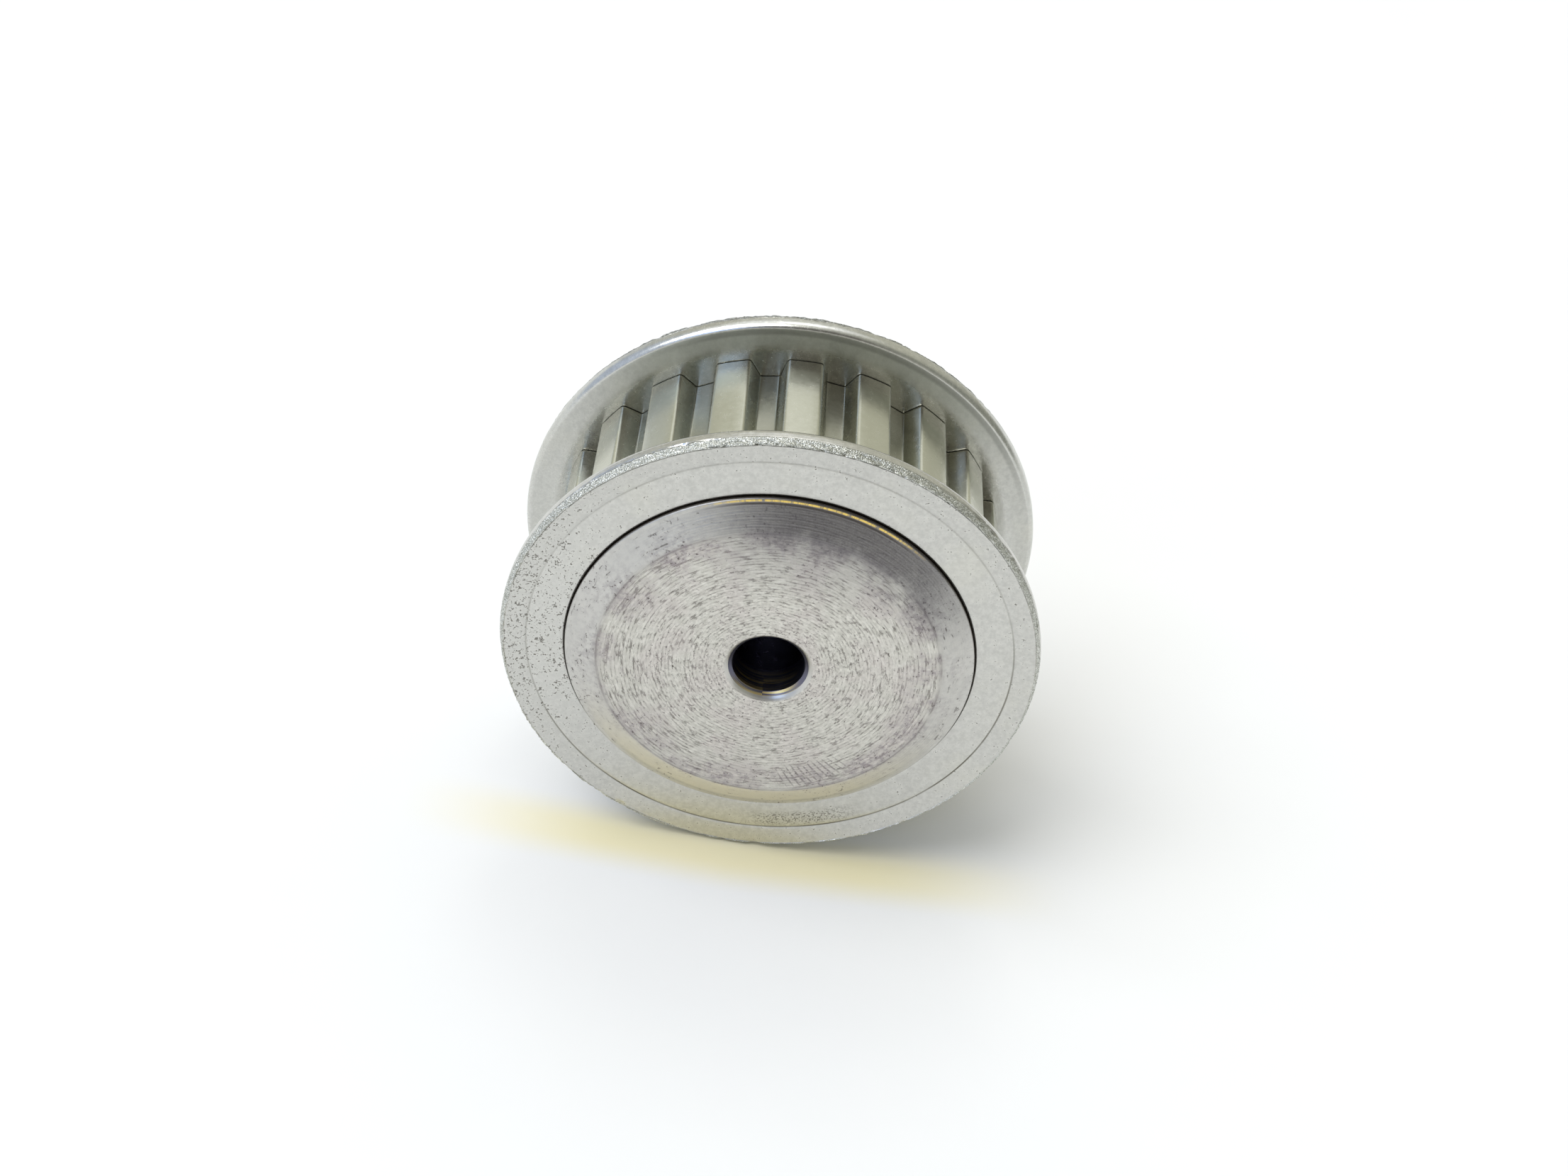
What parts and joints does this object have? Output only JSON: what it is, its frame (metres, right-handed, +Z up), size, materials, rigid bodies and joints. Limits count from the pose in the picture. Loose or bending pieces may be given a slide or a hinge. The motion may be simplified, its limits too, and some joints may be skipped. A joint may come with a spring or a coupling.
{
  "type": "timing belt pulley",
  "caption": "Flanged toothed pulley for a trapezoidal timing belt, with a plain bore and a hub that is fixed to the shaft by grub screws.",
  "frame": {"origin": "on the bore axis, half way between the belt sides of the flanges", "axes": "+Y along the bore towards the hub's end, +Z up, the pulley's front face towards -Y"},
  "size_m": [0.037, 0.0218, 0.037],
  "materials": {
    "turned_aluminium": "turned and faced, dull, with tool marks",
    "plated_sheet_front": "bright zinc plate, handled, satin",
    "plated_sheet_rear": "bright zinc plate, handled, satin",
    "blackened_screw_top": "black oxide",
    "blackened_screw_side": "black oxide"
  },
  "bodies": {
    "pulley": {"toothed_body": "turned_aluminium", "front_flange": "plated_sheet_front", "rear_flange": "plated_sheet_rear"},
    "top_screw": {"grub_screw_top": "blackened_screw_top"},
    "side_screw": {"grub_screw_side": "blackened_screw_side"}
  },
  "joints": [
    {"name": "top_screw_travel", "type": "slide", "parent": "pulley", "child": "top_screw", "axis": [0, 0, 1], "range_m": [-0.0001, 0.007]},
    {"name": "side_screw_travel", "type": "slide", "parent": "pulley", "child": "side_screw", "axis": [1, 0, 0], "range_m": [-0.0001, 0.007]}
  ]
}
